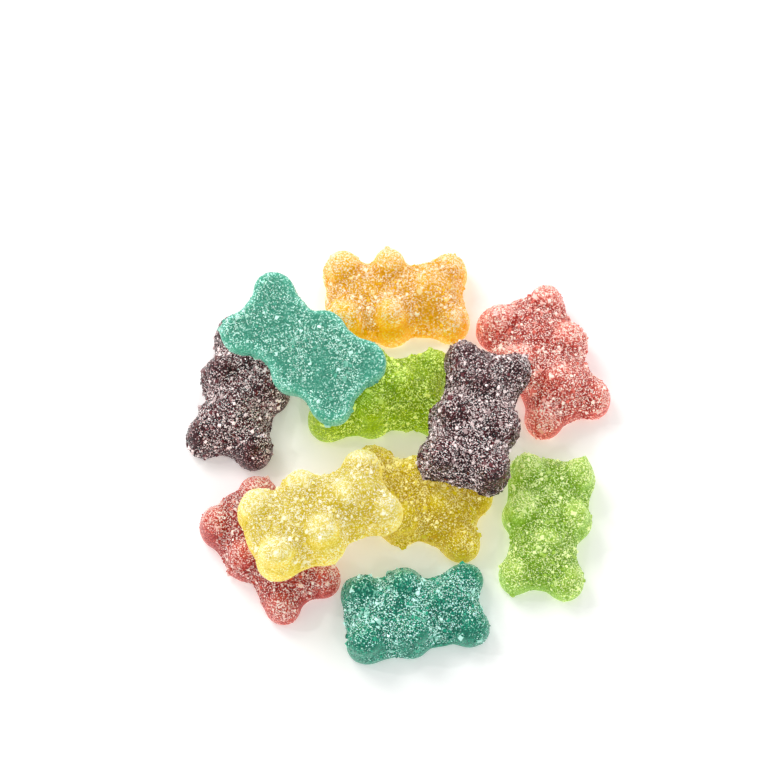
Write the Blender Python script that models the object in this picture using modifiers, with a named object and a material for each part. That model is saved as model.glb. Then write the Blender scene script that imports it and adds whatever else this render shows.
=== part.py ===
"""Sugared gummy bears, lying in the small heap in which they were tipped out.

Metres, +Z up. The origin is under the middle of the heap, on the surface that it lies on.
Each bear is one solid: a soft moulded body with a flat back, and the coarsest grains of
its sugar coat standing out of it. The bears that lie on others are let down until they touch,
and tip until their middle is as low as it can be.
"""

import math
import random

import bmesh
import bpy
import numpy as np
from mathutils import Matrix, Vector
from mathutils.bvhtree import BVHTree

MM = 0.001

# The mould, in mm: a bear on its back, x across, y from its feet to its ears, z up from the back
MOULD_LENGTH = 22.0
MOULD = (
    # name, in a pair, middle (x, y, z), half sizes (x, y, z)
    ("torso", False, (0.0, -3.6, 1.6), (5.9, 7.3, 6.1)),
    ("shoulders", False, (0.0, 1.6, 1.6), (5.0, 4.2, 6.1)),
    ("rump", False, (0.0, -4.3, 0.9), (6.3, 4.9, 2.6)),
    ("nape", False, (0.0, 3.7, 0.9), (5.6, 4.6, 2.6)),
    ("head", False, (0.0, 5.0, 1.6), (5.3, 5.1, 6.3)),
    ("muzzle", False, (0.0, 3.8, 6.6), (2.4, 2.0, 2.2)),
    ("ear", True, (3.7, 8.1, 1.6), (2.9, 3.1, 5.0)),
    ("arm", True, (3.9, -1.0, 1.6), (3.2, 3.0, 5.8)),
    ("paw", True, (3.6, -0.9, 6.2), (2.5, 2.5, 2.9)),
    ("leg", True, (4.0, -7.7, 1.6), (3.0, 3.3, 5.6)),
    ("foot", True, (3.7, -7.6, 5.8), (2.5, 2.6, 2.9)),
)
SETTLED_SPREAD = 0.7
BACK_CUT = 0.12
UNEVEN_PLACE = 0.25
UNEVEN_SIZE = 0.05
LUMP_FINENESS = 4
VOXEL = 0.42
SMOOTHING_STEPS = 20
BODY_TRIANGLES = 790
SHORTEST_RIM_EDGE = 0.05
SHARP_FROM = 45.0

# The coarsest sugar grains, in mm
GRAINS_PER_BEAR = 14
GRAIN_SIDE = (0.65, 1.0)
GRAIN_SINK = 0.05
GRAIN_SPACING = 2.3
GRAIN_FROM_OTHERS = 1.3
GRAIN_FROM_TABLE = 1.0
TRIES_PER_GRAIN = 60

# How close two bears come, and how the search for a resting place is made
CLEARANCE = 0.3
POINT_SPACING = 1.0
HEIGHT_STEP = 0.3
REACH = 16.0
ABOVE_ALL = 60.0
FIRST_TILT = 4.0
LAST_TILT = 0.2

# The sugar-dusted colours
COLOURS = {
    "orange": (0.95, 0.50, 0.08),
    "teal": (0.10, 0.52, 0.42),
    "green": (0.42, 0.66, 0.06),
    "purple": (0.13, 0.05, 0.08),
    "red": (0.75, 0.14, 0.12),
    "yellow": (0.90, 0.68, 0.08),
}
ROUGHNESS = 0.45

# Each bear, before the heap is centred: place of its middle (x, y) in mm, the way from its feet to its ears in degrees
# anticlockwise from +X, its length and its width against the mould's, and which side is up
ON_TABLE = (
    # name, colour, x, y, heading, length in mm, width, face up
    ("bear_orange", "orange", -0.3, 23.7, 2.0, 21.9, 1.02, True),
    ("bear_teal_front", "teal", 2.1, -23.3, 7.5, 20.2, 0.98, True),
    ("bear_green_right", "green", 20.8, -10.8, -98.0, 20.2, 1.00, True),
    ("bear_red_right", "red", 21.4, 13.7, -66.0, 21.4, 1.04, True),
    ("bear_purple_left", "purple", -22.4, 9.0, -105.0, 21.5, 0.98, True),
    ("bear_red_left", "red", -18.2, -14.5, -51.0, 20.3, 1.00, True),
    ("bear_green_middle", "green", -2.8, 9.0, 0.5, 21.4, 1.01, True),
    ("bear_yellow_right", "yellow", 2.3, -7.7, -17.0, 21.0, 0.98, True),
)
ON_OTHERS = (
    ("bear_teal_back", "teal", -13.2, 10.9, 141.0, 22.2, 0.95, False),
    ("bear_purple_top", "purple", 10.8, 2.4, 76.0, 21.2, 0.97, True),
    ("bear_yellow_top", "yellow", -10.7, -11.5, 24.0, 21.4, 0.98, True),
)


def clear_scene():
    for obj in list(bpy.data.objects):
        bpy.data.objects.remove(obj)


def gummy(colour):
    """The material of one colour of gummy under its sugar."""
    material = bpy.data.materials.new("gummy_" + colour)
    material.use_nodes = True
    shader = material.node_tree.nodes["Principled BSDF"]
    shader.inputs["Base Color"].default_value = (*COLOURS[colour], 1.0)
    shader.inputs["Roughness"].default_value = ROUGHNESS
    shader.inputs["Metallic"].default_value = 0.0
    return material


def apply_modifiers(obj):
    graph = bpy.context.evaluated_depsgraph_get()
    made = bpy.data.meshes.new_from_object(obj.evaluated_get(graph))
    obj.modifiers.clear()
    obj.data = made


def add_lump(shape, middle, half_sizes):
    """An ellipsoid, in mm."""
    place = Matrix.Translation(middle) @ Matrix.Diagonal((*half_sizes, 1.0))
    bmesh.ops.create_icosphere(shape, subdivisions=LUMP_FINENESS, radius=1.0, matrix=place)


def add_lumps(shape, draw):
    """The mould's lumps, each a little out of place and size, as no two bears are alike."""
    for _, in_a_pair, middle, half_sizes in MOULD:
        for side in (-1, 1) if in_a_pair else (1,):
            placed = [m + draw.uniform(-UNEVEN_PLACE, UNEVEN_PLACE) for m in middle]
            placed[0] *= side
            sized = [h * (1 + draw.uniform(-UNEVEN_SIZE, UNEVEN_SIZE)) for h in half_sizes]
            add_lump(shape, placed, sized)


def settle_on_back(mesh, length, width):
    """Presses what is below the back up into it, round its edge, and turns mm into metres."""
    points = np.empty(len(mesh.vertices) * 3)
    mesh.vertices.foreach_get("co", points)
    points = points.reshape(-1, 3)
    height = points[:, 2]
    points[:, 2] = (height + np.sqrt(height**2 + SETTLED_SPREAD**2)) / 2 - BACK_CUT
    stretch = length / MOULD_LENGTH
    points *= (stretch * width * MM, stretch * MM, stretch * MM)
    mesh.vertices.foreach_set("co", points.ravel())
    mesh.update()


def flatten_back(mesh):
    """Cuts the back flat at height 0, and closes it with one face."""
    shape = bmesh.new()
    shape.from_mesh(mesh)
    everything = shape.verts[:] + shape.edges[:] + shape.faces[:]
    cut = bmesh.ops.bisect_plane(
        shape, geom=everything, plane_co=(0, 0, 0), plane_no=(0, 0, -1), clear_outer=True
    )
    rim = [e for e in cut["geom_cut"] if isinstance(e, bmesh.types.BMEdge)]
    bmesh.ops.dissolve_degenerate(shape, dist=SHORTEST_RIM_EDGE * MM, edges=rim)
    rim = [e for e in shape.edges if e.is_boundary]
    bmesh.ops.edgeloop_fill(shape, edges=rim)
    bmesh.ops.triangulate(shape, faces=shape.faces[:])
    bmesh.ops.recalc_face_normals(shape, faces=shape.faces[:])
    shape.to_mesh(mesh)
    shape.free()


def make_bear(name, length, width, draw):
    """One bear on its back at the origin, without its sugar."""
    shape = bmesh.new()
    add_lumps(shape, draw)
    mesh = bpy.data.meshes.new(name)
    shape.to_mesh(mesh)
    shape.free()
    bear = bpy.data.objects.new(name, mesh)
    bpy.context.scene.collection.objects.link(bear)

    skin = bear.modifiers.new("one_skin", "REMESH")
    skin.mode = "VOXEL"
    skin.voxel_size = VOXEL
    soft = bear.modifiers.new("soft", "SMOOTH")
    soft.factor = 0.5
    soft.iterations = SMOOTHING_STEPS
    apply_modifiers(bear)
    settle_on_back(bear.data, length, width)

    fewer = bear.modifiers.new("fewer_faces", "DECIMATE")
    fewer.ratio = BODY_TRIANGLES / (2 * len(bear.data.polygons))
    apply_modifiers(bear)
    flatten_back(bear.data)
    bpy.context.scene.collection.objects.unlink(bear)
    return bear


def tree_of(obj):
    shape = bmesh.new()
    shape.from_mesh(obj.data)
    shape.transform(obj.matrix_world)
    tree = BVHTree.FromBMesh(shape)
    shape.free()
    return tree


def heights_below(trees, x, y):
    """The height of what lies on the table, on a grid around (x, y). The table itself is at 0."""
    steps = round(REACH / HEIGHT_STEP)
    offsets = np.arange(-steps, steps + 1) * HEIGHT_STEP * MM
    grid = np.zeros((len(offsets), len(offsets)))
    down = Vector((0, 0, -1))
    for i, dx in enumerate(offsets):
        for j, dy in enumerate(offsets):
            for tree in trees:
                hit = tree.ray_cast(Vector((x + dx, y + dy, ABOVE_ALL * MM)), down)[0]
                if hit is not None:
                    grid[i, j] = max(grid[i, j], hit.z)
    return grid


def points_all_over(mesh, clear=0.0):
    """Points close together all over a mesh, moved outwards to keep it clear of others."""
    shape = bmesh.new()
    shape.from_mesh(mesh)
    long = [e for e in shape.edges if e.calc_length() > POINT_SPACING * MM]
    while long:
        bmesh.ops.subdivide_edges(shape, edges=long, cuts=1)
        bmesh.ops.triangulate(shape, faces=shape.faces[:])
        long = [e for e in shape.edges if e.calc_length() > POINT_SPACING * MM]
    shape.normal_update()
    points = np.array([v.co + v.normal * clear for v in shape.verts])
    shape.free()
    return points


def resting_height(points, turn, grid):
    """How high the middle of the turned bear is when its first point touches what is below."""
    turned = points @ np.array(turn.to_3x3()).T
    cell = turned[:, :2] / (HEIGHT_STEP * MM) + (len(grid) - 1) / 2
    low = np.clip(np.floor(cell).astype(int), 0, len(grid) - 2)
    i, j = low[:, 0], low[:, 1]
    around = [grid[i, j], grid[i + 1, j], grid[i, j + 1], grid[i + 1, j + 1]]
    return float((np.max(around, axis=0) - turned[:, 2]).max())


def tilted(tilt):
    return Matrix.Rotation(math.radians(tilt[0]), 4, "X") @ Matrix.Rotation(
        math.radians(tilt[1]), 4, "Y"
    )


def find_rest(points, heading, grid):
    """Tips the bear a little each way, for as long as that lets its middle down."""
    tilt = (0.0, 0.0)
    height = resting_height(points, tilted(tilt) @ heading, grid)
    step = FIRST_TILT
    while step >= LAST_TILT:
        ways = [(step, 0), (-step, 0), (0, step), (0, -step)]
        tries = [(tilt[0] + a, tilt[1] + b) for a, b in ways]
        found = [(resting_height(points, tilted(t) @ heading, grid), t) for t in tries]
        lowest, best = min(found)
        if lowest < height:
            height, tilt = lowest, best
        else:
            step /= 2
    return tilted(tilt) @ heading, height


def facing(heading):
    """Turns the mould, whose ears are towards +Y, until they are towards the heading."""
    return Matrix.Rotation(math.radians(heading - 90), 4, "Z")


def place_on_table(bear, x, y, heading):
    turn = facing(heading)
    bear.matrix_world = Matrix.Translation((x * MM, y * MM, 0)) @ turn


def place_on_others(bear, x, y, heading, face_up, trees):
    centre = points_all_over(bear.data).mean(axis=0)
    centre[:2] = 0
    points = points_all_over(bear.data, CLEARANCE * MM) - centre
    turn = facing(heading)
    if not face_up:
        turn = turn @ Matrix.Rotation(math.pi, 4, "Y")
    grid = heights_below(trees, x * MM, y * MM)
    turn, height = find_rest(points, turn, grid)
    up = Matrix.Translation((x * MM, y * MM, height))
    bear.matrix_world = up @ turn @ Matrix.Translation(-Vector(centre))


def grain_sites(bear, others, draw):
    """Places for the coarse grains, spread evenly over what is open to the air."""
    mesh = bear.data
    triangles = list(mesh.polygons)
    areas = [t.area for t in triangles]
    sites = []
    for _ in range(TRIES_PER_GRAIN * GRAINS_PER_BEAR):
        if len(sites) == GRAINS_PER_BEAR:
            break
        face = draw.choices(triangles, weights=areas)[0]
        a, b, c = (mesh.vertices[i].co for i in face.vertices)
        s, t = sorted((draw.random(), draw.random()))
        local = a * s + b * (t - s) + c * (1 - t)
        place = bear.matrix_world @ local
        if place.z < GRAIN_FROM_TABLE * MM:
            continue
        if any((place - p).length < GRAIN_SPACING * MM for p, _ in sites):
            continue
        if any(tree.find_nearest(place, GRAIN_FROM_OTHERS * MM)[0] for tree in others):
            continue
        sites.append((place, (bear.matrix_world.to_3x3() @ face.normal).normalized()))
    return sites


def make_grain(name, place, outward, draw):
    """A sugar crystal: a small block, turned any way and half sunk."""
    sides = [draw.uniform(*GRAIN_SIDE) * MM for _ in range(3)]
    angles = [draw.uniform(0, math.tau) for _ in range(3)]
    turn = (
        Matrix.Rotation(angles[0], 4, "X")
        @ Matrix.Rotation(angles[1], 4, "Y")
        @ Matrix.Rotation(angles[2], 4, "Z")
    )
    at = Matrix.Translation(place - outward * GRAIN_SINK * MM)
    shape = bmesh.new()
    bmesh.ops.create_cube(shape, size=1.0, matrix=at @ turn @ Matrix.Diagonal((*sides, 1.0)))
    mesh = bpy.data.meshes.new(name)
    shape.to_mesh(mesh)
    shape.free()
    return bpy.data.objects.new(name, mesh)


def smooth_body(mesh):
    """Shades the soft body smooth, and leaves the grains' edges and the back's rim sharp."""
    mesh.shade_smooth()
    mesh.set_sharp_from_angle(angle=math.radians(SHARP_FROM))


def add_grains(bear, others, draw):
    """Joins the coarse grains to their bear with one union."""
    grains = bpy.data.collections.new("grains")
    bpy.context.scene.collection.children.link(grains)
    for number, (place, outward) in enumerate(grain_sites(bear, others, draw)):
        grains.objects.link(make_grain(f"grain_{number}", place, outward, draw))
    join = bear.modifiers.new("grains", "BOOLEAN")
    join.operation = "UNION"
    join.operand_type = "COLLECTION"
    join.collection = grains
    join.solver = "EXACT"
    apply_modifiers(bear)
    for grain in list(grains.objects):
        bpy.data.objects.remove(grain)
    bpy.data.collections.remove(grains)


def centre_heap(bears):
    """Moves the bears so that the origin is under the middle of the heap."""
    corners = [
        bear.matrix_world @ vertex.co for bear in bears for vertex in bear.data.vertices
    ]
    xs = [c.x for c in corners]
    ys = [c.y for c in corners]
    zs = [c.z for c in corners]
    middle = Vector(((min(xs) + max(xs)) / 2, (min(ys) + max(ys)) / 2, min(zs)))
    for bear in bears:
        bear.matrix_world = Matrix.Translation(-middle) @ bear.matrix_world


def main():
    clear_scene()
    heap = bpy.data.collections.new("gummy_bears")
    bpy.context.scene.collection.children.link(heap)
    materials = {colour: gummy(colour) for colour in COLOURS}
    bears = []
    for number, row in enumerate(ON_TABLE + ON_OTHERS):
        name, colour, x, y, heading, length, width, face_up = row
        bear = make_bear(name, length, width, random.Random(number))
        heap.objects.link(bear)
        if row in ON_TABLE:
            place_on_table(bear, x, y, heading)
        else:
            place_on_others(bear, x, y, heading, face_up, [tree_of(b) for b in bears])
        bear.data.materials.clear()
        bear.data.materials.append(materials[colour])
        bpy.context.view_layer.update()
        bears.append(bear)

    trees = [tree_of(bear) for bear in bears]
    for number, bear in enumerate(bears):
        others = trees[:number] + trees[number + 1 :]
        add_grains(bear, others, random.Random(len(bears) + number))
        trees[number] = tree_of(bear)
        smooth_body(bear.data)
    centre_heap(bears)
    bpy.context.view_layer.update()


main()
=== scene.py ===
# %% [markdown]
# Sugared gummy bears
#
# Eleven moulded fruit gums lie in a small heap, and each is coated all over in fine sugar. The packed
# model gives every bear its form and its place. This lesson gives each one a translucent gel body, and
# then a real coat of sugar on it, crystal by crystal, because it is the crystals that catch the light.

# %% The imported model
import math
import random

import bmesh
import bpy
import numpy as np
from mathutils import Matrix, Vector, noise


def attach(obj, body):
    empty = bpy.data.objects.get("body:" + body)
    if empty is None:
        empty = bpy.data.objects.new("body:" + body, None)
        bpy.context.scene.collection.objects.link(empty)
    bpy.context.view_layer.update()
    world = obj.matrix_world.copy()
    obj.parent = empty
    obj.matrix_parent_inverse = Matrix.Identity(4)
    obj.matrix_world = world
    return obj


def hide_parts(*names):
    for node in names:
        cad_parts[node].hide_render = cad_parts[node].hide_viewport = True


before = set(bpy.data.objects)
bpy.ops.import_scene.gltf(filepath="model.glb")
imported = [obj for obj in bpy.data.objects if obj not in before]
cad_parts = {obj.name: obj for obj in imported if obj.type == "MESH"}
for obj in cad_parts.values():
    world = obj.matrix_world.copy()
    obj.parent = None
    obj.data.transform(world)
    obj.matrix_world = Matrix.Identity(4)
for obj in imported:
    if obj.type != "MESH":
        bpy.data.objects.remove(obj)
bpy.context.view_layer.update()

MM = 0.001
print("bears in the heap:", sorted(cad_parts))

# %% [markdown]
# The view
#
# The heap is seen from steeply above, from quite near, so the bears on top look a little larger than
# those below. A long lens on a near camera gives both. The target is the middle of the picture, which
# lies beyond the heap, because the heap sits low and to the left in its frame.

# %% The camera
CAMERA_DISTANCE = 230 * MM
CAMERA_STEEPNESS = math.radians(70)
LOOK_AT = Vector((-1.35, 10.0, 0.0)) * MM
LENS = 72.2
SENSOR = 36.0


def make_camera():
    data = bpy.data.cameras.new("view")
    data.lens = LENS
    data.sensor_width = SENSOR
    camera = bpy.data.objects.new("view", data)
    bpy.context.scene.collection.objects.link(camera)
    ahead = Vector((0, math.cos(CAMERA_STEEPNESS), -math.sin(CAMERA_STEEPNESS)))
    camera.location = LOOK_AT - ahead * CAMERA_DISTANCE
    camera.rotation_euler = (math.pi / 2 - CAMERA_STEEPNESS, 0, 0)
    bpy.context.scene.camera = camera
    return camera


camera = make_camera()
print("camera at, in mm:", [round(v / MM) for v in camera.location])

# %% [markdown]
# The light
#
# Sugar needs two kinds of light. A bright dome and a wide soft lamp fill the gel and keep the shadows
# faint, and a few small lamps are mirrored in the crystals as sparks. The view transform is Standard,
# because the floor has to come out white, and the colours as they are mixed.

# %% The lamps and the dome
DOME_STRENGTH = 0.68
LAMPS = (
    # name, place in mm, width in mm, watts
    ("soft_key", (-230, 260, 420), 220, 1.0),
    ("spark_left", (-260, 60, 300), 14, 0.14),
    ("spark_far", (60, 330, 260), 14, 0.14),
    ("spark_near", (130, -190, 330), 14, 0.08),
)


def make_lamp(name, place, width, watts):
    data = bpy.data.lights.new(name, "AREA")
    data.shape = "DISK"
    data.size = width * MM
    data.energy = watts
    lamp = bpy.data.objects.new(name, data)
    bpy.context.scene.collection.objects.link(lamp)
    lamp.location = Vector(place) * MM
    lamp.rotation_euler = (-lamp.location).to_track_quat("-Z", "Y").to_euler()


def make_dome():
    world = bpy.data.worlds.new("studio")
    world.use_nodes = True
    dome = world.node_tree.nodes["Background"]
    dome.inputs["Color"].default_value = (1.0, 1.0, 1.0, 1.0)
    dome.inputs["Strength"].default_value = DOME_STRENGTH
    bpy.context.scene.world = world


for lamp in LAMPS:
    make_lamp(*lamp)
make_dome()
bpy.context.scene.view_settings.view_transform = "Standard"
print("lamps:", len(LAMPS))

# %% [markdown]
# The floor
#
# A sheet of pale acrylic, lit a little from below, as a photographer's light table is: it keeps the
# shadows pale, and sends light up into the gel. It lies just below the bears so that nothing is in the
# same plane, and it isn't part of the object.

# %% The floor
FLOOR_REACH = 900 * MM
FLOOR_DROP = 0.05 * MM
FLOOR_COLOUR = (0.93, 0.93, 0.925, 1.0)
FLOOR_ROUGHNESS = 0.8
FLOOR_SHINE = 0.1
FLOOR_GLOW = 0.22


def make_floor():
    shape = bmesh.new()
    drop = Matrix.Translation((0, 0, -FLOOR_DROP))
    bmesh.ops.create_grid(shape, x_segments=1, y_segments=1, size=FLOOR_REACH, matrix=drop)
    mesh = bpy.data.meshes.new("floor")
    shape.to_mesh(mesh)
    shape.free()
    floor = bpy.data.objects.new("floor", mesh)
    bpy.context.scene.collection.objects.link(floor)
    material = bpy.data.materials.new("pale_sheet")
    material.use_nodes = True
    shader = material.node_tree.nodes["Principled BSDF"]
    shader.inputs["Base Color"].default_value = FLOOR_COLOUR
    shader.inputs["Roughness"].default_value = FLOOR_ROUGHNESS
    shader.inputs["Specular IOR Level"].default_value = FLOOR_SHINE
    shader.inputs["Emission Color"].default_value = FLOOR_COLOUR
    shader.inputs["Emission Strength"].default_value = FLOOR_GLOW
    mesh.materials.append(material)


make_floor()
print("the floor lies", round(FLOOR_DROP / MM, 2), "mm under the bears")

# %% [markdown]
# The gel body
#
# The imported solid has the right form, but with flat facets and with its coarse grains fused on. A copy
# of it is merged, remade as an even skin of small squares and smoothed, which is how a soft moulded gum
# looks under its sugar. Sculpting it again would be another way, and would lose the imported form.

# %% Helpers for meshes
def applied(obj):
    """Turns what an object's modifiers show into its own mesh."""
    graph = bpy.context.evaluated_depsgraph_get()
    mesh = bpy.data.meshes.new_from_object(obj.evaluated_get(graph))
    obj.modifiers.clear()
    obj.data = mesh
    return obj


def positions(mesh):
    flat = np.empty(len(mesh.vertices) * 3)
    mesh.vertices.foreach_get("co", flat)
    return flat.reshape(-1, 3)


def directions(mesh):
    flat = np.empty(len(mesh.vertices) * 3)
    mesh.vertices.foreach_get("normal", flat)
    return flat.reshape(-1, 3)


# %% The skin of one bear
MERGE_WITHIN = 0.001 * MM
SKIN_SQUARE = 0.22 * MM
SKIN_SMOOTHING = 22
SMOOTHING_STEP = 0.5


def merged_copy(node, name):
    shape = bmesh.new()
    shape.from_mesh(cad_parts[node].data)
    bmesh.ops.remove_doubles(shape, verts=shape.verts[:], dist=MERGE_WITHIN)
    mesh = bpy.data.meshes.new(name)
    shape.to_mesh(mesh)
    shape.free()
    return mesh


def make_gel(node, name):
    gel = bpy.data.objects.new(name, merged_copy(node, name))
    bpy.context.scene.collection.objects.link(gel)
    skin = gel.modifiers.new("even_skin", "REMESH")
    skin.mode = "VOXEL"
    skin.voxel_size = SKIN_SQUARE
    soft = gel.modifiers.new("soft", "SMOOTH")
    soft.factor = SMOOTHING_STEP
    soft.iterations = SKIN_SMOOTHING
    applied(gel)
    gel.data.shade_smooth()
    return gel


# %% [markdown]
# Where the sugar lies
#
# Sugar gathers in the hollows between the paws, round the neck and under the chin, lies in patches on
# the level parts, and hardly clings to the steep sides. There the bare gel shows its colour, and it is
# also painted deeper and given a painted glow, as if light came through the whole bear; the glow is
# strongest there and on the underside. The side that faces away from us and, for most flavours, the
# proud lobes are painted paler, as if lit through from behind. A hollow is where a heavily smoothed copy
# of the skin stands outside the skin itself, so the distance between the two, along the normal,
# measures it. What is found is kept on the skin as attributes, which the sprinkling and the gel's
# material read.

# %% Measuring the skin
HOLLOW_SMOOTHING = 160
PROUD_LOBE = 0.25
DEEP_CREASE = 0.12
PATCH = 3.2 * MM


def store(mesh, name, values):
    layer = mesh.attributes.new(name, "FLOAT", "POINT")
    layer.data.foreach_set("value", values.astype(np.float32))


def measure_hollows(gel):
    """How far the skin lies under its smoothed copy, in mm. It is below 0 on the proud parts."""
    spread = gel.modifiers.new("spread", "SMOOTH")
    spread.factor = SMOOTHING_STEP
    spread.iterations = HOLLOW_SMOOTHING
    graph = bpy.context.evaluated_depsgraph_get()
    blurred = positions(gel.evaluated_get(graph).data)
    gel.modifiers.clear()
    return ((blurred - positions(gel.data)) * directions(gel.data)).sum(axis=1) / MM


def measure_patches(gel):
    """Soft patches all over, between 0 and 1."""
    found = [noise.noise(Vector(point) / PATCH) for point in positions(gel.data)]
    return np.clip(0.5 + np.array(found), 0, 1)


# %% The sugar's cover, and the gel's paleness and glow, partly painted light
WALL_FROM = 0.35
WALL_SPAN = 0.5
LESS_ON_LOBES = 0.35
MORE_IN_CREASES = 0.35
PATCHY_COVER = 0.6
BARE_BELOW = 0.25 * MM
PALENESS = 0.33
PALE_CREASES = 0.2
PATCHY_PALENESS = 0.22
# Painted light: the steep walls are painted a deeper colour, as if light came through the whole bear.
PAINTED_DEEP_WALLS = 0.2
# Painted light: the side that faces away from us is painted paler, as if lit from behind.
PAINTED_BACKLIGHT = 0.15
# Painted glow: the gel gives off light of its own colour, this much on top and more on its walls and
# underside.
TOP_GLOW = 0.44


def find_cover(gel, thickness, bare_walls, painted_lobe_light):
    """Stores how thick the sugar is, how pale the gel is, partly by painted light, and its painted glow,
    all from 0 to 1.
    """
    hollow = measure_hollows(gel)
    normal = directions(gel.data)
    lobe = np.clip(-hollow / PROUD_LOBE, 0, 1)
    crease = np.clip(hollow / DEEP_CREASE, 0, 1)
    wall = np.clip((1 - np.abs(normal[:, 2]) - WALL_FROM) / WALL_SPAN, 0, 1)
    under = np.clip(-normal[:, 2], 0, 1)
    patch = measure_patches(gel) - 0.5
    cover = thickness - LESS_ON_LOBES * lobe + MORE_IN_CREASES * crease - bare_walls * wall
    cover += PATCHY_COVER * patch
    cover[positions(gel.data)[:, 2] < BARE_BELOW] = 0
    # Painted light on the proud lobes, as if lit through their thin gel; the paler creases and patches are
    # the sugar's own.
    pale = PALENESS + painted_lobe_light * lobe + PALE_CREASES * crease + PATCHY_PALENESS * patch
    # Painted light: paler on the far side, deeper on the steep walls.
    pale += PAINTED_BACKLIGHT * normal[:, 1] - PAINTED_DEEP_WALLS * wall
    store(gel.data, "sugar", np.clip(cover, 0, 1))
    store(gel.data, "pale", np.clip(pale, 0, 1))
    # Painted glow, least on top and most on the walls and the underside.
    store(gel.data, "glow", TOP_GLOW + (1 - TOP_GLOW) * np.maximum(wall, under))


# %% [markdown]
# A crystal of sugar
#
# A grain of table sugar is a little block with slanting ends. One block is shaped here, narrowed towards
# its top and leaning, and every grain is a copy of it, turned and stretched at random. It has only twelve
# triangles, because a bear carries thousands.

# %% One crystal
TOP_SIZE = (0.72, 0.86, 1.0)
TOP_LEAN = (0.1, 0.04, 0.0)


def make_crystal():
    shape = bmesh.new()
    bmesh.ops.create_cube(shape, size=1.0)
    top = [v for v in shape.verts if v.co.z > 0]
    bmesh.ops.scale(shape, vec=TOP_SIZE, verts=top)
    bmesh.ops.translate(shape, vec=TOP_LEAN, verts=top)
    mesh = bpy.data.meshes.new("crystal")
    shape.to_mesh(mesh)
    shape.free()
    crystal = bpy.data.objects.new("crystal", mesh)
    bpy.context.scene.collection.objects.link(crystal)
    return crystal


crystal = make_crystal()
CRYSTAL_FACES = len(crystal.data.polygons)
print("a crystal has", CRYSTAL_FACES, "faces")

# %% [markdown]
# Sprinkling
#
# Geometry Nodes scatter points on the skin with a least distance between them, so that the grains lie
# side by side and not in each other. A crystal is put on each point and turned any way. Most are fine,
# and a few are coarse and whiter. Each also draws a tone: most are clear and a few are white, and where
# the sugar is thick, the tones lie further apart. The instances are realized, which makes one real mesh
# of a coat.

# %% Small helpers for nodes
def add_node(tree, kind, **settings):
    node = tree.nodes.new(kind)
    for name, value in settings.items():
        setattr(node, name, value)
    return node


def feed(tree, socket, source):
    """Links a socket to a source, or sets it where the source is a plain value."""
    if isinstance(source, bpy.types.NodeSocket):
        tree.links.new(source, socket)
    else:
        socket.default_value = source


def maths(tree, operation, *sources):
    node = add_node(tree, "ShaderNodeMath", operation=operation)
    for socket, source in zip(node.inputs, sources):
        feed(tree, socket, source)
    return node.outputs[0]


def chance(tree, low, high, seed):
    """A random value for each point, a number or a vector."""
    kind = "FLOAT_VECTOR" if isinstance(low, tuple) else "FLOAT"
    node = add_node(tree, "FunctionNodeRandomValue", data_type=kind)
    at = 0 if kind == "FLOAT_VECTOR" else 2
    node.inputs[at].default_value = low
    node.inputs[at + 1].default_value = high
    node.inputs["Seed"].default_value = seed
    return node.outputs[0 if kind == "FLOAT_VECTOR" else 1]


def named(tree, name):
    node = add_node(tree, "GeometryNodeInputNamedAttribute", data_type="FLOAT")
    node.inputs["Name"].default_value = name
    return node.outputs["Attribute"]


# %% The sprinkling tree
GRAIN_APART = 0.142 * MM
GRAINS_PER_M2 = 80e6
FINE_GRAIN = 0.114 * MM
COARSE_GRAIN = 0.5 * MM
COARSENESS = 26.0
LEAST_STRETCH = (0.75, 0.75, 0.7)
MOST_STRETCH = (1.35, 1.2, 1.15)
MOST_ARE_CLEAR = 4.0
MEAN_FLAWS = 1 / (MOST_ARE_CLEAR + 1)
LEAST_SWING = 1.0
MOST_SWING = 3.4
COVER_WHITENS = 0.15
COARSE_WHITENS = 1.0


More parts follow.
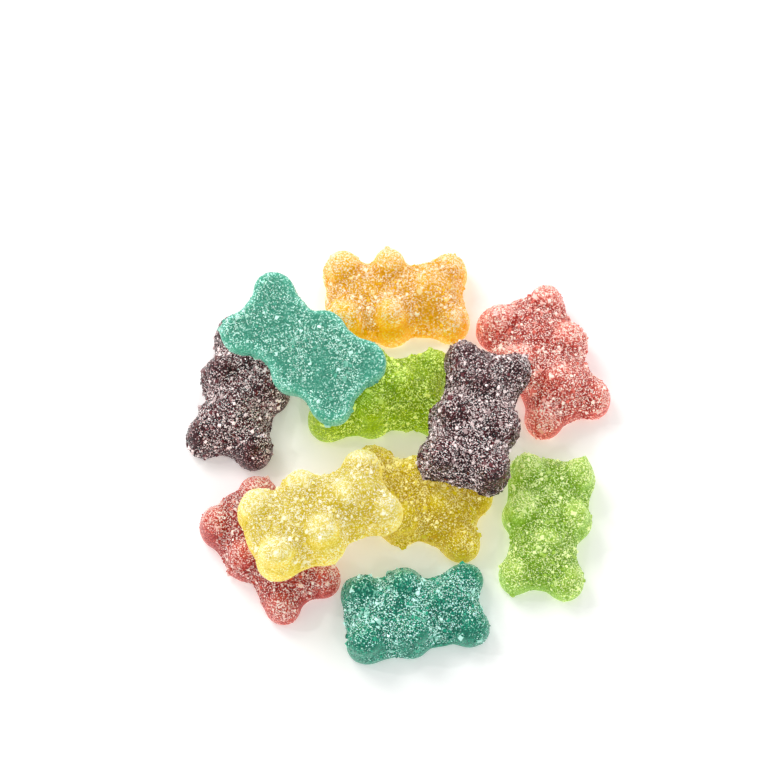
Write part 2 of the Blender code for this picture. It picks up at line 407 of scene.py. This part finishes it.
def sprinkling(seed):
    tree = bpy.data.node_groups.new(f"sprinkling_{seed}", "GeometryNodeTree")
    tree.interface.new_socket("Skin", in_out="INPUT", socket_type="NodeSocketGeometry")
    tree.interface.new_socket("Coat", in_out="OUTPUT", socket_type="NodeSocketGeometry")
    skin = add_node(tree, "NodeGroupInput").outputs["Skin"]
    links = tree.links

    spread = add_node(tree, "GeometryNodeDistributePointsOnFaces", distribute_method="POISSON")
    links.new(skin, spread.inputs["Mesh"])
    spread.inputs["Distance Min"].default_value = GRAIN_APART
    spread.inputs["Density Max"].default_value = GRAINS_PER_M2
    spread.inputs["Seed"].default_value = seed
    links.new(named(tree, "sugar"), spread.inputs["Density Factor"])

    rare = maths(tree, "POWER", chance(tree, 0.0, 1.0, seed + 1), COARSENESS)
    grown = maths(tree, "MULTIPLY_ADD", rare, COARSE_GRAIN - FINE_GRAIN, FINE_GRAIN)
    stretch = chance(tree, LEAST_STRETCH, MOST_STRETCH, seed + 2)
    size = add_node(tree, "ShaderNodeVectorMath", operation="SCALE")
    links.new(stretch, size.inputs[0])
    links.new(grown, size.inputs["Scale"])

    place = add_node(tree, "GeometryNodeInstanceOnPoints")
    links.new(spread.outputs["Points"], place.inputs["Points"])
    block = add_node(tree, "GeometryNodeObjectInfo")
    block.inputs["Object"].default_value = crystal
    links.new(block.outputs["Geometry"], place.inputs["Instance"])
    links.new(chance(tree, (0.0,) * 3, (math.tau,) * 3, seed + 3), place.inputs["Rotation"])
    links.new(size.outputs[0], place.inputs["Scale"])

    # The middle tone follows the gel's paleness, which is partly painted light.
    middle = maths(tree, "MULTIPLY_ADD", named(tree, "sugar"), COVER_WHITENS, named(tree, "pale"))
    whiter = maths(tree, "MULTIPLY", rare, named(tree, "sugar"))
    middle = maths(tree, "MULTIPLY_ADD", whiter, COARSE_WHITENS, middle)
    swing = maths(tree, "MULTIPLY_ADD", named(tree, "sugar"), MOST_SWING - LEAST_SWING, LEAST_SWING)
    flaws = maths(tree, "POWER", chance(tree, 0.0, 1.0, seed + 4), MOST_ARE_CLEAR)
    tone = maths(tree, "MULTIPLY_ADD", maths(tree, "SUBTRACT", flaws, MEAN_FLAWS), swing, middle)
    mark = add_node(tree, "GeometryNodeStoreNamedAttribute", data_type="FLOAT", domain="INSTANCE")
    mark.inputs["Name"].default_value = "tone"
    links.new(place.outputs["Instances"], mark.inputs["Geometry"])
    links.new(tone, mark.inputs["Value"])
    real = add_node(tree, "GeometryNodeRealizeInstances")
    links.new(mark.outputs["Geometry"], real.inputs["Geometry"])
    links.new(real.outputs["Geometry"], add_node(tree, "NodeGroupOutput").inputs["Coat"])
    return tree


def make_coat(gel, name, seed):
    coat = bpy.data.objects.new(name, gel.data.copy())
    bpy.context.scene.collection.objects.link(coat)
    coat.modifiers.new("sprinkling", "NODES").node_group = sprinkling(seed)
    return applied(coat)


# %% [markdown]
# The coarsest grains
#
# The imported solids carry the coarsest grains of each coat, and these have to stay where they are. Each
# was joined to its bear, so its faces are walled in by inward folds. Spreading from face to face, but
# never across such a fold, finds one grain at a time. Its corners are drawn in a little towards their
# middle, and the hull round them and their feet in the gel is that grain again, as a closed crystal.

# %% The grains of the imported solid
FOLD = math.radians(15)
FEWEST_FACES = 4
TOO_MANY_FACES = 40
ROOT_DEPTH = 0.4 * MM
COARSE_SIZE = 0.8
COARSE_TONE = (0.5, 0.95)


def spread_from(face):
    """The faces that can be reached from a face without crossing an inward fold."""
    found = {face}
    waiting = [face]
    while waiting:
        here = waiting.pop()
        for edge in here.edges:
            if edge.calc_face_angle_signed(0.0) > -FOLD:
                fresh = [other for other in edge.link_faces if other not in found]
                found.update(fresh)
                waiting.extend(fresh)
    return found


def packed_grains(node):
    """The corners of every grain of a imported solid, and the way out of the gel there."""
    shape = bmesh.new()
    shape.from_mesh(merged_copy(node, "packed"))
    left = set(shape.faces)
    grains = []
    while left:
        # sorted, so that the sum below comes out the same in every run
        island = sorted(spread_from(next(iter(left))), key=lambda face: face.index)
        left.difference_update(island)
        if FEWEST_FACES <= len(island) < TOO_MANY_FACES:
            corners = {vert for face in island for vert in face.verts}
            out = sum((face.normal * face.calc_area() for face in island), Vector()).normalized()
            grains.append((sorted(tuple(vert.co) for vert in corners), out))
    shape.free()
    return sorted(grains, key=lambda grain: grain[0])


def add_coarse(node, coat, draw):
    """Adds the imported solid's own grains to a coat, and returns each face's crystal number."""
    shape = bmesh.new()
    shape.from_mesh(coat.data)
    tone = shape.verts.layers.float["tone"]
    owners = [number // CRYSTAL_FACES for number in range(len(shape.faces))]
    fine_faces = len(owners)
    for corners, out in packed_grains(node):
        middle = sum((Vector(corner) for corner in corners), Vector()) / len(corners)
        tops = [middle.lerp(Vector(corner), COARSE_SIZE) for corner in corners]
        roots = [top - out * ROOT_DEPTH for top in tops]
        verts = [shape.verts.new(place) for place in [*tops, *roots]]
        value = draw.uniform(*COARSE_TONE)
        for vert in verts:
            vert[tone] = value
        hull = bmesh.ops.convex_hull(shape, input=verts)
        within = set(hull["geom_interior"] + hull["geom_unused"])
        bmesh.ops.delete(shape, geom=[v for v in verts if v in within], context="VERTS")
        owners += [owners[-1] + 1] * (len(shape.faces) - len(owners))
    shape.faces.ensure_lookup_table()
    bmesh.ops.recalc_face_normals(shape, faces=shape.faces[fine_faces:])
    shape.to_mesh(coat.data)
    shape.free()
    return np.array(owners)


# %% [markdown]
# A map for baking
#
# This map is for baking the colours into a picture. A crystal has one tone all over, so
# each gets one square cell of that picture, and all of its faces lie on top of each other in it. Unfolding
# thousands of crystals in the usual way would leave no room for any of them.

# %% One cell for every crystal
CELL_FILL = 0.6
EIGHTH_TURN = 0.125


def lay_out(coat, owners):
    mesh = coat.data
    corners = np.array([len(face.vertices) for face in mesh.polygons])
    first = np.cumsum(corners) - corners
    rank = np.arange(corners.sum()) - np.repeat(first, corners)
    angle = math.tau * (rank / np.repeat(corners, corners) + EIGHTH_TURN)
    owner = np.repeat(owners, corners)
    cells = math.ceil(math.sqrt(owners[-1] + 1))
    across = (owner % cells + 0.5 + CELL_FILL * np.cos(angle)) / cells
    up = (owner // cells + 0.5 + CELL_FILL * np.sin(angle)) / cells
    layer = mesh.uv_layers.new(name="OFBake")
    layer.data.foreach_set("uv", np.column_stack((across, up)).ravel())


# %% [markdown]
# The coat's colours
#
# A clear crystal shows the gel under it, one in shade is deep in colour, and one with flaws in it is
# pale. So every grain has a tone, from 0 to 1, and three colours of a flavour are mixed by it: deep, gel
# and frost. The gel and the separate crystals both use this, so it is a node group.

# %% Helpers for materials
def sockets(tree, ins, outs):
    """Makes a shader group's sockets. Each is a name, and a colour or a number."""
    kinds = {"colour": "NodeSocketColor", "number": "NodeSocketFloat"}
    for way, wanted in (("INPUT", ins), ("OUTPUT", outs)):
        for name, kind in wanted:
            tree.interface.new_socket(name, in_out=way, socket_type=kinds[kind])
    return add_node(tree, "NodeGroupInput").outputs, add_node(tree, "NodeGroupOutput").inputs


def blend_colours(tree, share, first, second):
    node = add_node(tree, "ShaderNodeMix", data_type="RGBA")
    # the colour sockets of a Mix node come after its float and vector ones
    feed(tree, node.inputs[0], share)
    feed(tree, node.inputs[6], first)
    feed(tree, node.inputs[7], second)
    return node.outputs[2]


def ranged(tree, value, low, high, to_low=0.0, to_high=1.0):
    node = add_node(tree, "ShaderNodeMapRange")
    for name, source in (
        ("Value", value), ("From Min", low), ("From Max", high), ("To Min", to_low), ("To Max", to_high)
    ):
        feed(tree, node.inputs[name], source)
    return node.outputs["Result"]


def attribute(tree, name):
    return add_node(tree, "ShaderNodeAttribute", attribute_name=name).outputs["Fac"]


# %% The coat's colours as a node group
GEL_TONE = 0.5


def make_coat_colours():
    tree = bpy.data.node_groups.new("coat_colours", "ShaderNodeTree")
    given, out = sockets(
        tree,
        [("Tone", "number"), ("Deep", "colour"), ("Gel", "colour"), ("Frost", "colour")],
        [("Colour", "colour")],
    )
    below = ranged(tree, given["Tone"], 0.0, GEL_TONE)
    above = ranged(tree, given["Tone"], GEL_TONE, 1.0)
    lower = blend_colours(tree, below, given["Deep"], given["Gel"])
    tree.links.new(blend_colours(tree, above, lower, given["Frost"]), out["Colour"])
    return tree


coat_colours = make_coat_colours()
print("the colours take", len(coat_colours.nodes), "nodes")

# %% [markdown]
# The finest sugar
#
# Between the crystals that are modelled lies sugar too fine for that. A Voronoi pattern splits the skin
# into cells of about 0.15 mm, and each cell gets a tone of its own and a facet tilted its own
# way: the height inside a cell rises along a random direction from its middle. Where the sugar is thin,
# the tones differ less and the facets are flatter. It is a group, as the gel of every bear has it. A plain
# noise bump would be simpler, but gives pebbles and not crystals.

# %% The finest sugar as a node group
FINEST_GRAIN = 0.15 * MM
LEAST_CONTRAST = 0.85
MOST_CONTRAST = 2.4
FINEST_ARE_CLEAR = 2.2
FINEST_MEAN = 0.31
FLATTEST = 0.25
SMOOTHEST = 0.15
ROUGHEST = 0.5


def make_finest():
    tree = bpy.data.node_groups.new("finest_sugar", "ShaderNodeTree")
    given, out = sockets(
        tree,
        [("Cover", "number"), ("Pale", "number")],
        [("Tone", "number"), ("Height", "number"), ("Roughness", "number")],
    )
    where = add_node(tree, "ShaderNodeTexCoord").outputs["Object"]
    cells = add_node(tree, "ShaderNodeTexVoronoi")
    cells.inputs["Scale"].default_value = 1 / FINEST_GRAIN
    tree.links.new(where, cells.inputs["Vector"])
    draw = add_node(tree, "ShaderNodeSeparateColor")
    tree.links.new(cells.outputs["Color"], draw.inputs["Color"])

    from_middle = add_node(tree, "ShaderNodeVectorMath", operation="SUBTRACT")
    tree.links.new(where, from_middle.inputs[0])
    tree.links.new(cells.outputs["Position"], from_middle.inputs[1])
    tilt = add_node(tree, "ShaderNodeVectorMath", operation="SUBTRACT")
    tree.links.new(cells.outputs["Color"], tilt.inputs[0])
    tilt.inputs[1].default_value = (0.5, 0.5, 0.5)
    rise = add_node(tree, "ShaderNodeVectorMath", operation="DOT_PRODUCT")
    tree.links.new(from_middle.outputs[0], rise.inputs[0])
    tree.links.new(tilt.outputs[0], rise.inputs[1])
    rise_share = maths(tree, "DIVIDE", rise.outputs["Value"], FINEST_GRAIN)
    facing = ranged(tree, given["Cover"], 0.0, 1.0, FLATTEST, 1.0)
    tree.links.new(maths(tree, "MULTIPLY", rise_share, facing), out["Height"])
    contrast = ranged(tree, given["Cover"], 0.0, 1.0, LEAST_CONTRAST, MOST_CONTRAST)
    flaws = maths(tree, "POWER", draw.outputs["Red"], FINEST_ARE_CLEAR)
    centred = maths(tree, "SUBTRACT", flaws, FINEST_MEAN)
    # The tone is centred on the gel's paleness, which is partly painted light.
    tree.links.new(maths(tree, "MULTIPLY_ADD", centred, contrast, given["Pale"]), out["Tone"])
    rough = ranged(tree, draw.outputs["Green"], 0.0, 1.0, SMOOTHEST, ROUGHEST)
    tree.links.new(rough, out["Roughness"])
    return tree


finest = make_finest()
print("the finest sugar takes", len(finest.nodes), "nodes")

# %% [markdown]
# The gel's finish
#
# Fruit gel is cloudy glass: light goes in, takes on its colour and comes out elsewhere, so the side away
# from the lamp glows. Subsurface scattering does that at a fraction of the cost of a true volume, but
# only near the surface. For what comes from deeper, the gel also gives off a little light of its own
# colour, most on its sides and its underside. Its gloss is weak, because sugar dust dulls it.

# %% The gel of one bear
FACET_HEIGHT = 0.22 * MM
GEL_DEPTH = 3.0 * MM
GEL_IOR = 1.45
INNER_LIGHT = 0.78
DUSTING = 0.12
DUST_ROUGHNESS = 0.4
GLOSS = 0.35


def coloured(tree, tone, colours):
    """Adds the colour group to a material, and returns its colour."""
    mix = add_node(tree, "ShaderNodeGroup", node_tree=coat_colours)
    tree.links.new(tone, mix.inputs["Tone"])
    for name in ("Deep", "Gel", "Frost"):
        mix.inputs[name].default_value = (*colours[name], 1.0)
    return mix.outputs["Colour"]


def make_gel_finish(name, colours):
    material = bpy.data.materials.new(name)
    material.use_nodes = True
    tree = material.node_tree
    shader = tree.nodes["Principled BSDF"]
    sugar = add_node(tree, "ShaderNodeGroup", node_tree=finest)
    tree.links.new(attribute(tree, "sugar"), sugar.inputs["Cover"])
    tree.links.new(attribute(tree, "pale"), sugar.inputs["Pale"])
    bump = add_node(tree, "ShaderNodeBump")
    bump.inputs["Distance"].default_value = FACET_HEIGHT
    tree.links.new(sugar.outputs["Height"], bump.inputs["Height"])
    colour = coloured(tree, sugar.outputs["Tone"], colours)
    tree.links.new(colour, shader.inputs["Base Color"])
    light = add_node(tree, "ShaderNodeVectorMath", operation="SCALE")
    tree.links.new(colour, light.inputs[0])
    tree.links.new(attribute(tree, "glow"), light.inputs["Scale"])
    tree.links.new(light.outputs[0], shader.inputs["Emission Color"])
    shader.inputs["Emission Strength"].default_value = INNER_LIGHT
    tree.links.new(sugar.outputs["Roughness"], shader.inputs["Roughness"])
    tree.links.new(bump.outputs["Normal"], shader.inputs["Normal"])
    shader.inputs["Subsurface Weight"].default_value = 1.0
    shader.inputs["Subsurface Radius"].default_value = colours["Reach"]
    shader.inputs["Subsurface Scale"].default_value = GEL_DEPTH
    shader.inputs["IOR"].default_value = GEL_IOR
    shader.inputs["Specular IOR Level"].default_value = GLOSS
    shader.inputs["Sheen Weight"].default_value = DUSTING
    shader.inputs["Sheen Roughness"].default_value = DUST_ROUGHNESS
    return material


# %% [markdown]
# The sugar's finish
#
# The crystals take the same colours by their own tone. They are smoother than the gel, so their facets
# mirror the small lamps. Light passes through real grains easily, so none has a black side: here a
# little light of their own colour stands for that. Glass crystals would be truer and far slower.

# %% The sugar of one bear
SUGAR_IOR = 1.54
SUGAR_ROUGHNESS = 0.16
GRAIN_LIGHT = 0.4


def make_sugar_finish(name, colours):
    material = bpy.data.materials.new(name)
    material.use_nodes = True
    tree = material.node_tree
    shader = tree.nodes["Principled BSDF"]
    colour = coloured(tree, attribute(tree, "tone"), colours)
    tree.links.new(colour, shader.inputs["Base Color"])
    tree.links.new(colour, shader.inputs["Emission Color"])
    shader.inputs["Emission Strength"].default_value = GRAIN_LIGHT
    shader.inputs["Roughness"].default_value = SUGAR_ROUGHNESS
    shader.inputs["IOR"].default_value = SUGAR_IOR
    return material


# %% [markdown]
# The colours
#
# Each flavour has three colours, mixed as they look in the light: deep, gel and frost. Shaders
# work in linear light, so they are turned into that first. No two bears of a flavour are quite alike, so
# each bear also has a share by which its colours are moved towards its frost, or if below 0 to its
# deep, and a brightness.

# %% Flavours and bears
FLAVOURS = {
    # deep, gel, frost, how far light of each colour travels,
    # and how thick the sugar is, how bare the walls are and how much paler the lobes are painted, as if
    # lit through
    "orange": ((222, 154, 0), (243, 190, 18), (255, 244, 214), (1.0, 0.6, 0.2), 0.6, 0.5, 0.4),
    "teal": ((6, 98, 80), (30, 156, 122), (210, 252, 244), (0.4, 1.0, 0.8), 0.6, 0.35, -0.05),
    "light_teal": ((54, 138, 114), (84, 174, 146), (210, 250, 238), (0.4, 1.0, 0.9), 0.36, 0.3, 0.2),
    "green": ((100, 146, 0), (142, 186, 0), (240, 252, 180), (0.8, 1.0, 0.25), 0.62, 0.5, 0.33),
    "deep_green": ((112, 146, 0), (160, 190, 0), (232, 248, 140), (0.8, 1.0, 0.25), 0.62, 0.5, 0.2),
    "purple": ((28, 0, 6), (104, 44, 50), (255, 238, 236), (0.8, 0.45, 0.45), 0.7, 0.1, 0.0),
    "red": ((150, 14, 10), (216, 86, 66), (255, 236, 224), (1.0, 0.35, 0.3), 0.62, 0.45, 0.38),
    "yellow": ((206, 178, 0), (228, 208, 20), (255, 252, 222), (1.0, 0.9, 0.3), 0.6, 0.5, 0.42),
    "deep_yellow": ((184, 152, 0), (216, 196, 0), (252, 242, 164), (1.0, 0.9, 0.3), 0.65, 0.5, 0.2),
}
BEARS = {
    # flavour, share towards the frost, and how bright it is beside others of its flavour
    "bear_orange": ("orange", 0.0, 1.0),
    "bear_teal_front": ("teal", 0.0, 1.1),
    "bear_green_right": ("green", 0.14, 1.02),
    "bear_red_right": ("red", 0.08, 1.08),
    "bear_purple_left": ("purple", 0.0, 1.05),
    "bear_red_left": ("red", -0.08, 0.9),
    "bear_green_middle": ("deep_green", 0.0, 1.08),
    "bear_yellow_right": ("deep_yellow", 0.0, 1.0),
    "bear_teal_back": ("light_teal", 0.0, 1.0),
    "bear_purple_top": ("purple", 0.0, 1.0),
    "bear_yellow_top": ("yellow", 0.2, 0.97),
}
LIGHT_GAIN = 1.2


def linear(colour):
    """The albedo that looks like a screen colour in this light."""
    shares = [c / 255 for c in colour]
    return [(c / 12.92 if c < 0.04045 else ((c + 0.055) / 1.055) ** 2.4) / LIGHT_GAIN for c in shares]


def colours_of(flavour, share, gain):
    deep, gel, frost, reach = FLAVOURS[flavour][:4]
    deep, gel, frost = ([c * gain for c in linear(colour)] for colour in (deep, gel, frost))
    end = frost if share > 0 else deep
    return {
        "Deep": [d + (g - d) * max(share, 0) for d, g in zip(deep, gel)],
        "Gel": [g + (e - g) * abs(share) for g, e in zip(gel, end)],
        "Frost": frost,
        "Reach": reach,
    }


# %% [markdown]
# Dressing the bears
#
# Every bear goes through the same steps: its skin, the hollows in it, the fine coat, the coarse grains,
# and the two finishes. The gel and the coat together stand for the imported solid.

# %% Gel and sugar for every bear
SEEDS_APART = 10


def dress(number, node):
    flavour, share, gain = BEARS[node]
    plain = node.removeprefix("bear_")
    gel = make_gel(node, "gel_" + plain)
    find_cover(gel, *FLAVOURS[flavour][4:])
    coat = make_coat(gel, "sugar_" + plain, SEEDS_APART * number)
    owners = add_coarse(node, coat, random.Random(number))
    lay_out(coat, owners)
    colours = colours_of(flavour, share, gain)
    gel.data.materials.clear()
    gel.data.materials.append(make_gel_finish("gel_" + plain, colours))
    coat.data.materials.clear()
    coat.data.materials.append(make_sugar_finish("sugar_" + plain, colours))
    for piece in (gel, coat):
        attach(piece, "root")
        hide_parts(node)
    print(node, "gel faces:", len(gel.data.polygons), "crystals:", owners[-1] + 1)
    return coat


coats = [dress(number, node) for number, node in enumerate(BEARS)]
bpy.data.objects.remove(crystal)
print("sugar faces in all:", sum(len(coat.data.polygons) for coat in coats))
